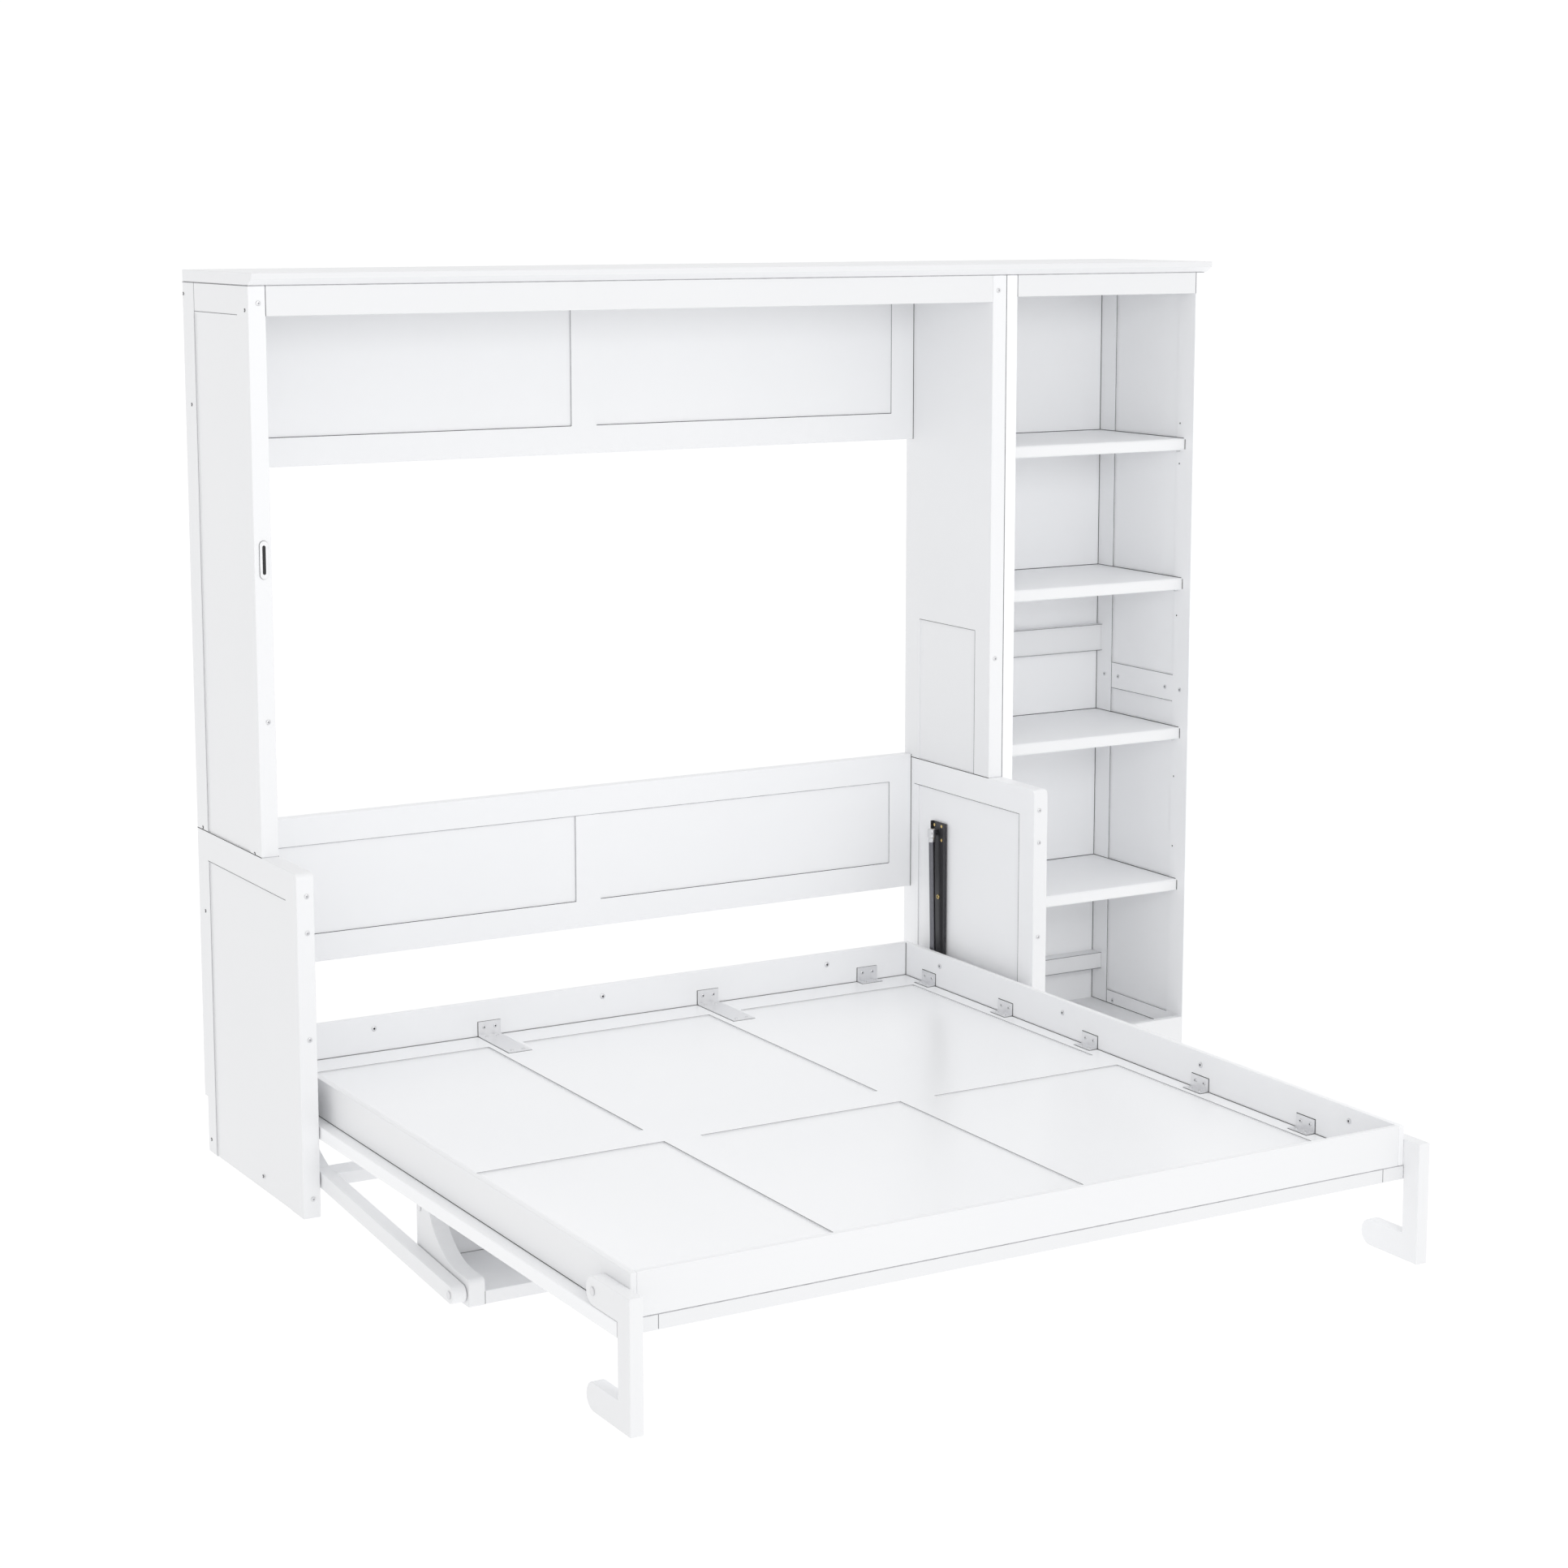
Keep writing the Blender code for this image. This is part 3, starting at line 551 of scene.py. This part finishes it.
def tower_lines():
    """Joints inside the shelf tower: back corners, right side's frame and shelf ends."""
    left, right = TOWER_LEFT + CLEAR, TOWER_SIDE - CLEAR
    stile_back, stile_front = TOWER_STILES
    dark = [upright(left, TOWER_BACK, TOWER_CORNER_LOW, CABINET_TOP, FRONT),
            upright(right, TOWER_BACK, TOWER_FLOOR, CABINET_TOP, FRONT),
            upright(TOWER_SIDE, stile_back, TOWER_FLOOR, TOWER_TOP, LEFT),
            across(TOWER_SIDE, TOWER_FLOOR + CLEAR, SIDE_LINE_BACK, BOTTOM_SHELF_FRONT, LEFT)]
    for top in SHELF_TOPS:
        dark.append(sideways(TOWER_BACK, top + CLEAR, left, right, FRONT))
        dark.append(across(TOWER_SIDE, top + CLEAR, SIDE_LINE_BACK, SHELF_LINE_FRONT, LEFT))
        low, high = top - SHELF_THICK + SHELF_EDGE, top - SHELF_EDGE
        dark += [upright(x, SHELF_FRONT, low, high, FRONT) for x in (left, right)]
    lines("tower_joints", dark, SHADE_DARK, "cabinet")
    soft = [across(TOWER_SIDE, z, stile_back, stile_front, LEFT) for z in TOWER_RAILS]
    for face, edges in BACK_RAILS:
        soft += [sideways(face, z, left, right, FRONT) for z in edges]
    lines("tower_side_lines", soft, SHADE_SOFT, "cabinet")


def tray_lines():
    """Joints between the deck and the mattress rails, and the tray's back corners."""
    (left, right), (back, front) = TRAY_SIDES, TRAY_ENDS
    low = DECK_TOP + TRAY_OVERLAP
    under = [sideways(back, DECK_TOP, left - TRAY_OVERLAP, right + TRAY_OVERLAP, UP)]
    under += [across(x, DECK_TOP, back, front, UP) for x in TRAY_SIDES]
    lines("tray_joints", under, SHADE_DARK, "bed", BROAD)
    corners = [upright(x, TRAY_CORNER_BACK, low, RAIL_HEIGHT, FRONT) for x in TRAY_CORNERS]
    lines("tray_corners", corners, SHADE_DARK, "bed")
    for name, x, normal in zip(("left", "right"), RAIL_FACES, (LEFT, RIGHT)):
        ledge = [across(x, low, back + LEDGE_INSET, front - LEDGE_INSET, normal)]
        lines(f"{name}_ledge_line", ledge, SHADE_DARK, "bed", BROAD)


def deck_lines():
    """Joints of the deck's six panels and of its front edge."""
    soft = []
    dark = []
    for left, right in DECK_COLUMNS:
        for front, back in DECK_ROWS:
            soft.append(sideways(back, DECK_TOP, left, right, UP))
            dark.append(across(right, DECK_TOP, front, back, UP))
    lines("deck_panel_lines", soft, SHADE_SOFT, "bed")
    lines("deck_panel_dark_lines", dark, SHADE_DARK, "bed")
    edge = [upright(x, BED_FRONT, LEDGE_LOW, DECK_TOP - CLEAR, FRONT) for x in LEDGE_JOINTS]
    lines("bed_front_lines", edge, SHADE_SOFT, "bed")
    under_rail = [sideways(BED_FRONT, DECK_TOP, *LEDGE, FRONT)]
    lines("front_ledge_line", under_rail, SHADE_FAINT, "bed")


def desk_lines():
    """Joint of the desk top with its back board and with the brackets."""
    joints = [sideways(DESK_BACK, DESK_TOP, *DESK_ENDS, UP)]
    joints += [upright(x, DESK_FRONT, DESK_LOW, DESK_TOP - CLEAR, FRONT) for x in DESK_JOINTS]
    lines("desk_joints", joints, SHADE_DARK, "desk")


# ------------------------------------------------------------------ screws
def screw_head(shape, centre, normal, radius, height):
    """Adds a domed screw head with a recessed drive."""
    turned(shape, centre, normal, (
        (radius, 0), (radius, height * 0.35), (radius * 0.9, height * 0.75),
        (radius * 0.68, height), (radius * 0.42, height), (radius * 0.38, height * 0.35),
        (radius * 0.1, height * 0.25)))


def socket(shape, seat, normal, radius, height):
    """Adds the floor of a screw's drive: a thin disc, which in the dark materials is painted shade
    in the drive's recess.
    """
    lift = Vector(normal) * (height * 0.35 + 0.05 * MM)
    disc(shape, Vector(seat) + lift, normal, radius * 0.36, 0.1 * MM)


def screws(name, spots, normal, head, body, material=STEEL, sockets=SHADE_DARK):
    """Screw heads at spots, all facing one way, with the floors of their drive sockets; the dark
    default for the floors is painted shade in the recesses.
    """
    heads = bmesh.new()
    floors = bmesh.new()
    normal = Vector(normal)
    for spot in spots:
        seat = Vector(spot) + normal * PROUD
        screw_head(heads, seat, normal, *times(head, MM))
        socket(floors, seat, normal, *times(head, MM))
    add_piece(name, heads, material, body)
    add_piece(name + "_sockets", floors, sockets, body)


def post_screws():
    """Screws in the fronts of the upper posts and of the lower side panels."""
    for name, node, heights in (("post_screws", "left_upper_side", POST_SCREWS),
                                ("lower_side_screws", "left_lower_side", LOWER_SIDE_SCREWS)):
        front = corner(node, 0)[1]
        middles = cabinet(25, 0, 0)[0], corner("partition_upper", 0)[0] + 17 * MM
        spots = [(x, front, z * MM) for z in heights for x in middles]
        screws(name, spots, FRONT, POST_HEAD, "cabinet", sockets=SHADE_FAINT)


def tower_screws():
    """Screws in the rails on the inside of the tower's right side."""
    face = corner("tower_right_side", 0)[0]
    back = corner("tower_right_side", 1)[1]
    spots = [(face, back - y * MM, z * MM) for y, z in TOWER_SCREWS]
    screws("tower_side_screws", spots, LEFT, TOWER_HEAD, "cabinet")


def bed_screws():
    """Screws on the inside of the mattress rails."""
    height = RAIL_SCREW_HEIGHT * MM
    face = corner("back_bed_rail", 0)[1]
    spots = [(cabinet(x, 0, 0)[0], face, height) for x in BACK_RAIL_SCREWS]
    screws("back_rail_screws", spots, FRONT, RAIL_HEAD, "bed")
    inner = corner("left_bed_rail", 1)
    for side, normal in (("left", RIGHT), ("right", LEFT)):
        spots = [on_side(side, (inner[0], inner[1] - y * MM, height))
                 for y in SIDE_RAIL_SCREWS]
        screws(f"{side}_rail_screws", spots, normal, RAIL_HEAD, "bed")


# ---------------------------------------------------------------- steel angles
ANGLE_OUT, ANGLE_LONG, ANGLE_HIGH, ANGLE_THICK = (v * MM for v in (26, 66, 33, 2))
ANGLE_PLACES = (133, 509, 892, 1350, 1749)     # middles, from the side rails' back ends
ANGLE_SHADOW_RIM = 1.4 * MM                           # width of the painted contact shadow round an angle
ANGLE_SCREW_SIDE = 17 * MM                     # from its middle to a screw
ANGLE_SCREW_HIGH = 19 * MM


def side_angle_boxes(foot, middle):
    """Boxes of one small angle on the left rail, and of the thin dark sheet of painted contact
    shadow round it.
    """
    x, low = foot
    start, end = middle - ANGLE_LONG / 2, middle + ANGLE_LONG / 2
    plates = [((x, start, low), (x + ANGLE_THICK, end, low + ANGLE_HIGH)),
              ((x + ANGLE_THICK * 0.9, start, low), (x + ANGLE_OUT, end, low + ANGLE_THICK))]
    start, end = start - ANGLE_SHADOW_RIM, end + ANGLE_SHADOW_RIM
    # painted contact shadow: thin dark sheets just behind and under the angle
    contact_shadows = [((x - PROUD, start, low), (x, end, low + ANGLE_HIGH + ANGLE_SHADOW_RIM)),
                ((x, start, low - PROUD), (x + ANGLE_OUT + ANGLE_SHADOW_RIM, end, low))]
    return plates, contact_shadows


def angle_screw(heads, sockets, seat, normal):
    """Adds one screw of a steel angle, and the floor of its drive."""
    screw_head(heads, Vector(seat), normal, *times(ANGLE_HEAD, MM))
    socket(sockets, seat, normal, *times(ANGLE_SOCKET, MM))


def side_angles():
    """Small steel angles that hold the mattress rails down on the deck, with their screws."""
    rail = corner("left_bed_rail", 1)
    x, low = foot = rail[0] + PROUD, corner("bed_deck", 1)[2] + PROUD
    for side, out in (("left", RIGHT), ("right", LEFT)):
        plates, contact_shadows, heads, sockets = (bmesh.new() for _ in range(4))
        for place in ANGLE_PLACES:
            middle = rail[1] - place * MM
            for target, boxes in zip((plates, contact_shadows), side_angle_boxes(foot, middle)):
                for a, b in boxes:
                    box_into(target, on_side(side, a), on_side(side, b))
            for y in (middle - ANGLE_SCREW_SIDE, middle + ANGLE_SCREW_SIDE):
                wall = on_side(side, (x + ANGLE_THICK, y, low + ANGLE_SCREW_HIGH))
                flat = on_side(side, (x + ANGLE_OUT * 0.62, y, low + ANGLE_THICK))
                for seat, normal in ((wall, out), (flat, UP)):
                    angle_screw(heads, sockets, seat, normal)
        made = add_piece(f"{side}_rail_angles", plates, BRIGHT_STEEL, "bed")
        soften(made, 0.5)
        add_piece(f"{side}_angle_screws", heads, STEEL, "bed")
        add_piece(f"{side}_angle_sockets", sockets, SHADE_DARK, "bed")
        add_piece(f"{side}_angle_contact_shadows", contact_shadows, SHADE_DARK, "bed", smooth=False)


def back_angles():
    """Screws of the three long angles on the back rail, and the dark edges of painted contact
    shadow round them.
    """
    heads, sockets, edges = (bmesh.new() for _ in range(3))
    deck = corner("bed_deck", 1)[2]
    face = corner("back_bed_rail", 0)[1]
    rim, thin = 1.3 * MM, 0.2 * MM
    from_top, from_edge = 15 * MM, 16 * MM
    for number in (1, 2, 3):
        low, high = corner(f"back_rail_angle_{number}", 0), corner(f"back_rail_angle_{number}", 1)
        # painted contact shadow: thin dark sheets round each angle, on the deck and on the rail's
        # face
        box_into(edges, (low[0] - rim, low[1] - rim, deck),
                 (high[0] + rim, high[1] + rim, deck + thin))
        box_into(edges, (low[0] - rim, face - thin, low[2]),
                 (high[0] + thin, face, high[2] + 0.6 * MM))
        for share in (0.25, 0.75):
            x = low[0] + (high[0] - low[0]) * share
            seats = [((x, high[1] - ANGLE_THICK, high[2] - from_top), FRONT)]
            for y in (high[1] - from_edge, low[1] + from_edge):
                seats.append(((x, y, low[2] + ANGLE_THICK), UP))
            for seat, normal in seats:
                angle_screw(heads, sockets, seat, normal)
    add_piece("back_angle_screws", heads, STEEL, "bed")
    add_piece("back_angle_sockets", sockets, SHADE_DARK, "bed")
    add_piece("back_angle_contact_shadows", edges, SHADE_DARK, "bed", smooth=False)


# --------------------------------------------------------------- small fittings
def latch_recess():
    """Painted shade in the opening behind the latch plate's slot, and a soft band of painted shade
    round the plate.
    """
    low, high = corner("latch_plate", 0), corner("latch_plate", 1)
    face = corner("left_upper_side", 0)[1]
    inset, thin = 5 * MM, 0.2 * MM
    # painted shade: a dark sheet in the slot's opening
    opening = bmesh.new()
    box_into(opening, (low[0] + inset, face - 0.25 * MM, low[2] + inset),
             (high[0] - inset, face, high[2] - inset))
    add_piece("latch_opening_shade", opening, SHADE_DARK, "cabinet", smooth=False)
    # painted shade: a soft band round the plate
    border = bmesh.new()
    middle = (low[0] + high[0]) / 2
    rim = 0.9 * MM
    half = (high[0] - low[0]) / 2 + rim
    bottom, top = low[2] + half - rim, high[2] - half + rim
    for end in (bottom, top):
        disc(border, Vector((middle, face, end)), FRONT, half, thin, 24)
    box_into(border, (middle - half, face - thin, bottom + rim), (middle + half, face, top - rim))
    add_piece("latch_shade_border", border, SHADE_SOFT, "cabinet", smooth=False)


def shelf_pins():
    """Pins under the four loose shelves."""
    shape = bmesh.new()
    for number in (1, 2, 3, 4):
        low, high = corner(f"tower_shelf_{number}", 0), corner(f"tower_shelf_{number}", 1)
        for y in (low[1] + 24 * MM, high[1] - 56 * MM):
            for x, out in ((low[0], RIGHT), (high[0], LEFT)):
                start = Vector((x, y, low[2] - 3.2 * MM))
                turned(shape, start, out, ((2.5 * MM, 0), (2.5 * MM, 7 * MM),
                                           (3.4 * MM, 7.4 * MM), (3.4 * MM, 9 * MM)), 12)
    add_piece("shelf_pins", shape, STEEL, "cabinet")


def pin_hole_shades():
    """Unused pin holes up the tower's right side, drawn as dark discs of painted shade in the
    holes.
    """
    face = corner("tower_right_side", 0)
    shape = bmesh.new()
    for z in PIN_HOLES:
        spot = Vector((face[0] - 0.05 * MM, face[1] + 60 * MM, z * MM))
        disc(shape, spot, LEFT, 2.4 * MM, 0.1 * MM)
    add_piece("pin_hole_shades", shape, SHADE_DARK, "cabinet")


def channel_screws(side, out):
    """Brass fixings of a strut's channel: three small screws at the top and a bolt below."""
    low, high = corner("left_strut_channel", 0), corner("left_strut_channel", 1)
    plate = low[0] + 2.6 * MM
    front, back, top = low[1], high[1], high[2]
    small = [(plate, back - 10 * MM, top - 11 * MM), (plate, front + 22 * MM, top - 10 * MM),
             (plate, front + 22 * MM, top - 49 * MM)]
    screws(f"{side}_channel_screws", [on_side(side, spot) for spot in small], out, CHANNEL_HEAD,
           "cabinet", BRASS, BRASS)
    large = [on_side(side, (plate, back - 31 * MM, top - 211 * MM))]
    screws(f"{side}_channel_bolt", large, out, CHANNEL_BOLT, "cabinet", BRASS)


def strut_sleeve(side, out):
    """Silver end sleeve of a strut's cylinder, with the head of the stud it turns on."""
    low, high = corner(f"{side}_strut_cylinder", 0), corner(f"{side}_strut_cylinder", 1)
    middle = (low[0] + high[0]) / 2
    upper = Vector((middle, high[1] - 11.6 * MM, high[2] - 11 * MM))
    lower = Vector((middle, low[1] + 8 * MM, low[2]))
    shape = bmesh.new()
    turned(shape, upper, lower - upper, ((8.5 * MM, -12 * MM), (11.4 * MM, -10.5 * MM),
                                         (11.4 * MM, 11 * MM), (8.9 * MM, 13 * MM),
                                         (8.9 * MM, 24 * MM), (8.3 * MM, 25 * MM)))
    turned(shape, upper + Vector(out) * 6.2 * MM, out, ((6 * MM, 0), (6 * MM, 1.2 * MM),
                                                        (5 * MM, 2 * MM)))
    add_piece(f"{side}_strut_sleeve", shape, STEEL, f"strut_{side}")


def cam_covers():
    """Small dark cam fittings on the left side's outer faces."""
    shape = bmesh.new()
    holes = bmesh.new()
    for y, z in CAM_PLACES:
        spot = cabinet(0, y, z)
        turned(shape, spot, LEFT, ((4.2 * MM, 0), (4.2 * MM, 0.8 * MM), (3.6 * MM, 1.2 * MM)), 16)
        disc(holes, spot + Vector(LEFT) * 1.2 * MM, LEFT, 2.4 * MM, 0.2 * MM)
    add_piece("cam_fittings", shape, ENAMEL, "cabinet")
    add_piece("cam_fitting_sockets", holes, STEEL, "cabinet")


def build_pieces():
    post_screws()
    tower_screws()
    bed_screws()
    side_angles()
    back_angles()
    latch_recess()
    shelf_pins()
    pin_hole_shades()
    for side, out in (("left", RIGHT), ("right", LEFT)):
        channel_screws(side, out)
        strut_sleeve(side, out)
    cam_covers()
    side_lines()
    front_lines()
    back_panel_lines()
    tower_lines()
    tray_lines()
    deck_lines()
    desk_lines()


# -------------------------------------------------------------- floor and light
def studio():
    """White room: even all round the horizon, shaded above it towards the left and right."""
    world = bpy.data.worlds.new("studio")
    world.use_nodes = True
    tree = world.node_tree
    link = tree.links.new
    direction = tree.nodes.new("ShaderNodeTexCoord").outputs["Generated"]
    parts = tree.nodes.new("ShaderNodeSeparateXYZ")
    link(direction, parts.inputs["Vector"])

    across_room = tree.nodes.new("ShaderNodeMapRange")
    across_room.inputs["From Min"].default_value = -1.0
    link(parts.outputs["X"], across_room.inputs["Value"])
    shades = tree.nodes.new("ShaderNodeValToRGB")
    shades.color_ramp.elements[0].color = (*grey(ROOM_LEFT), 1.0)
    shades.color_ramp.elements[1].color = (*grey(ROOM_RIGHT), 1.0)
    shades.color_ramp.elements.new(0.5).color = WHITE
    link(across_room.outputs["Result"], shades.inputs["Fac"])

    height = tree.nodes.new("ShaderNodeMapRange")
    height.inputs["From Min"].default_value, height.inputs["From Max"].default_value = HORIZON_BAND
    link(parts.outputs["Z"], height.inputs["Value"])
    blend = tree.nodes.new("ShaderNodeMix")
    blend.data_type = "RGBA"
    blend.inputs["A"].default_value = WHITE
    link(height.outputs["Result"], blend.inputs["Factor"])
    link(shades.outputs["Color"], blend.inputs["B"])

    background = tree.nodes["Background"]
    background.inputs["Strength"].default_value = ROOM_STRENGTH
    link(blend.outputs["Result"], background.inputs["Color"])
    bpy.context.scene.world = world


def floor():
    """Plain white floor, kept evenly bright under the bed by a glow of its own."""
    shape = bmesh.new()
    bmesh.ops.create_circle(shape, cap_ends=True, segments=96, radius=FLOOR_RADIUS)
    mesh = bpy.data.meshes.new("floor")
    shape.to_mesh(mesh)
    shape.free()
    ground = bpy.data.objects.new("floor", mesh)
    ground.location = (0, 0, -FLOOR_DROP)
    made = Nodes("pale_floor", grey(0.16), 0.9)
    made.colour(made.ramp(made.noise(3.0, 2.0), grey(0.155), grey(0.165)))
    made.shader.inputs["Specular IOR Level"].default_value = 0.0
    made.shader.inputs["Emission Color"].default_value = WHITE
    made.shader.inputs["Emission Strength"].default_value = FLOOR_GLOW
    mesh.materials.append(made.material)
    bpy.context.collection.objects.link(ground)


def soft_light(name, place, target, size, power):
    data = bpy.data.lights.new(name, "AREA")
    data.shape = "RECTANGLE"
    data.size, data.size_y = size
    data.energy = power
    light = bpy.data.objects.new(name, data)
    light.location = place
    light.rotation_euler = (Vector(target) - Vector(place)).to_track_quat("-Z", "Y").to_euler()
    bpy.context.collection.objects.link(light)


def camera():
    data = bpy.data.cameras.new("camera")
    data.sensor_width = 36.0
    data.lens = CAMERA_FOCAL
    data.shift_y = CAMERA_SHIFT
    made = bpy.data.objects.new("camera", data)
    made.location = CAMERA_PLACE
    yaw, pitch = CAMERA_TURN
    made.rotation_euler = (math.radians(90 + pitch), 0, math.radians(-yaw))
    bpy.context.collection.objects.link(made)
    bpy.context.scene.camera = made


dress_all()
build_pieces()
studio()
floor()
soft_light("key", *KEY_LIGHT)
soft_light("shelf_fill", *SHELF_FILL)
camera()
bpy.context.scene.view_settings.view_transform = "Standard"
